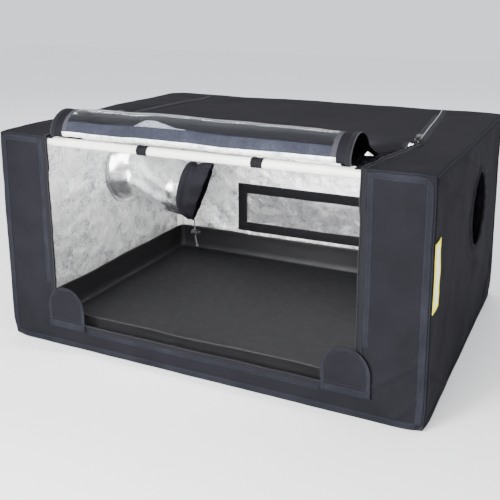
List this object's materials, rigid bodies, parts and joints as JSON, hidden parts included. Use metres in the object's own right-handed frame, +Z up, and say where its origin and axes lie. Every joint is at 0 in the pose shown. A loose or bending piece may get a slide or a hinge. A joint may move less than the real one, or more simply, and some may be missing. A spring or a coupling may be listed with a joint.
{
  "type": "enclosure tent",
  "caption": "Low fabric enclosure tent on a tube frame, front door unzipped and rolled on the roof, round side duct ports with drawcord sleeves, rear vent and a lift-out tray",
  "frame": {"origin": "middle of the base, on the surface that the tent stands on", "axes": "+X to the tent's right seen from the front, +Y to the rear wall, +Z up"},
  "size_m": [0.8005, 0.605, 0.445],
  "materials": {
    "tube_coating": "cream-white powder coat",
    "corner_plastic": "moulded black nylon",
    "cover_fabric": "charcoal coated Oxford weave",
    "silver_lining": "crinkled silver foil lining",
    "zip_tape": "black woven tape with a nylon coil",
    "zip_metal": "black enamelled zinc",
    "hook_loop": "black hook-and-loop tape",
    "cord": "black braided cord",
    "lock_plastic": "moulded black acetal",
    "vent_mesh": "fine grey insect mesh",
    "clear_film": "clear soft PVC film",
    "tray_plastic": "black waterproof sheet",
    "label": "blank woven label, yellow edge and white middle"
  },
  "bodies": {
    "enclosure": {"bottom_front_left_connector": "corner_plastic", "bottom_front_right_connector": "corner_plastic", "bottom_front_tube": "tube_coating", "bottom_left_tube": "tube_coating", "bottom_rear_left_connector": "corner_plastic", "bottom_rear_right_connector": "corner_plastic", "bottom_rear_tube": "tube_coating", "bottom_right_tube": "tube_coating", "floor_panel": "cover_fabric", "front_left_post": "tube_coating", "front_panel": "cover_fabric", "front_right_post": "tube_coating", "label": "label", "left_drawcord": "cord", "left_drawcord_knot": "cord", "left_duct_sleeve": "silver_lining", "left_sleeve_cuff": "cover_fabric", "left_wall": "cover_fabric", "left_zip_tape": "zip_tape", "rear_left_post": "tube_coating", "rear_right_post": "tube_coating", "rear_wall": "cover_fabric", "right_drawcord": "cord", "right_drawcord_knot": "cord", "right_duct_sleeve": "silver_lining", "right_sleeve_cuff": "cover_fabric", "right_wall": "cover_fabric", "right_zip_tape": "zip_tape", "roof_left_strip": "cover_fabric", "roof_rear_panel": "cover_fabric", "roof_right_strip": "cover_fabric", "sill_zip_tape": "zip_tape", "top_front_left_connector": "corner_plastic", "top_front_right_connector": "corner_plastic", "top_front_tube": "tube_coating", "top_left_tube": "tube_coating", "top_rear_left_connector": "corner_plastic", "top_rear_right_connector": "corner_plastic", "top_rear_tube": "tube_coating", "top_right_tube": "tube_coating", "vent_frame": "hook_loop", "vent_mesh": "vent_mesh"},
    "door": {"door_flap": "cover_fabric", "door_roll": "cover_fabric", "door_window": "clear_film", "door_zip_tape": "zip_tape"},
    "vent_cover": {"vent_cover": "cover_fabric"},
    "tray": {"tray": "tray_plastic"},
    "left_zip_slider": {"left_zip_slider": "zip_metal"},
    "left_zip_pull": {"left_zip_pull": "zip_metal"},
    "left_corner_tab": {"left_corner_tab": "cover_fabric"},
    "left_pole_strap": {"left_pole_strap": "hook_loop"},
    "left_cord_lock": {"left_cord_lock": "lock_plastic"},
    "left_lock_plunger": {"left_cord_lock_plunger": "lock_plastic"},
    "right_zip_slider": {"right_zip_slider": "zip_metal"},
    "right_zip_pull": {"right_zip_pull": "zip_metal"},
    "right_corner_tab": {"right_corner_tab": "cover_fabric"},
    "right_pole_strap": {"right_pole_strap": "hook_loop"},
    "right_cord_lock": {"right_cord_lock": "lock_plastic"},
    "right_lock_plunger": {"right_cord_lock_plunger": "lock_plastic"}
  },
  "joints": [
    {"name": "door_fold", "type": "hinge", "parent": "enclosure", "child": "door", "pos_m": [0, -0.084, 0.4], "axis": [-1, 0, 0], "range_deg": [0, 150]},
    {"name": "vent_cover_lift", "type": "hinge", "parent": "enclosure", "child": "vent_cover", "pos_m": [0, 0.3018, 0.187], "axis": [1, 0, 0], "range_deg": [0, 170]},
    {"name": "tray_lift", "type": "slide", "parent": "enclosure", "child": "tray", "axis": [0, 0, 1], "range_m": [0, 0.06]},
    {"name": "left_zip_slide", "type": "slide", "parent": "enclosure", "child": "left_zip_slider", "axis": [0.1036, 0.9946, 0], "range_m": [0, 0.33]},
    {"name": "left_zip_pull_swing", "type": "hinge", "parent": "left_zip_slider", "child": "left_zip_pull", "pos_m": [-0.31496, -0.074, 0.4065], "axis": [0.9946, -0.1036, 0], "range_deg": [0, 150]},
    {"name": "left_tab_fold", "type": "hinge", "parent": "enclosure", "child": "left_corner_tab", "pos_m": [-0.2655, -0.3015, 0.038], "axis": [1, 0, 0], "range_deg": [0, 110]},
    {"name": "left_strap_slide", "type": "slide", "parent": "enclosure", "child": "left_pole_strap", "axis": [1, 0, 0], "range_m": [-0.08, 0.08]},
    {"name": "left_lock_slide", "type": "slide", "parent": "enclosure", "child": "left_cord_lock", "axis": [0, 0, 1], "range_m": [0, 0.018]},
    {"name": "left_lock_press", "type": "slide", "parent": "left_cord_lock", "child": "left_lock_plunger", "axis": [-1, 0, 0], "range_m": [0, 0.0027], "stiffness_N_per_m": 300, "springref_m": -0.002},
    {"name": "right_zip_slide", "type": "slide", "parent": "enclosure", "child": "right_zip_slider", "axis": [-0.1036, 0.9946, 0], "range_m": [0, 0.33]},
    {"name": "right_zip_pull_swing", "type": "hinge", "parent": "right_zip_slider", "child": "right_zip_pull", "pos_m": [0.31496, -0.074, 0.4065], "axis": [0.9946, 0.1036, 0], "range_deg": [0, 150]},
    {"name": "right_tab_fold", "type": "hinge", "parent": "enclosure", "child": "right_corner_tab", "pos_m": [0.275, -0.3015, 0.038], "axis": [1, 0, 0], "range_deg": [0, 110]},
    {"name": "right_strap_slide", "type": "slide", "parent": "enclosure", "child": "right_pole_strap", "axis": [1, 0, 0], "range_m": [-0.08, 0.08]},
    {"name": "right_lock_slide", "type": "slide", "parent": "enclosure", "child": "right_cord_lock", "axis": [0, 0, 1], "range_m": [0, 0.018]},
    {"name": "right_lock_press", "type": "slide", "parent": "right_cord_lock", "child": "right_lock_plunger", "axis": [1, 0, 0], "range_m": [0, 0.0027], "stiffness_N_per_m": 300, "springref_m": -0.002}
  ]
}
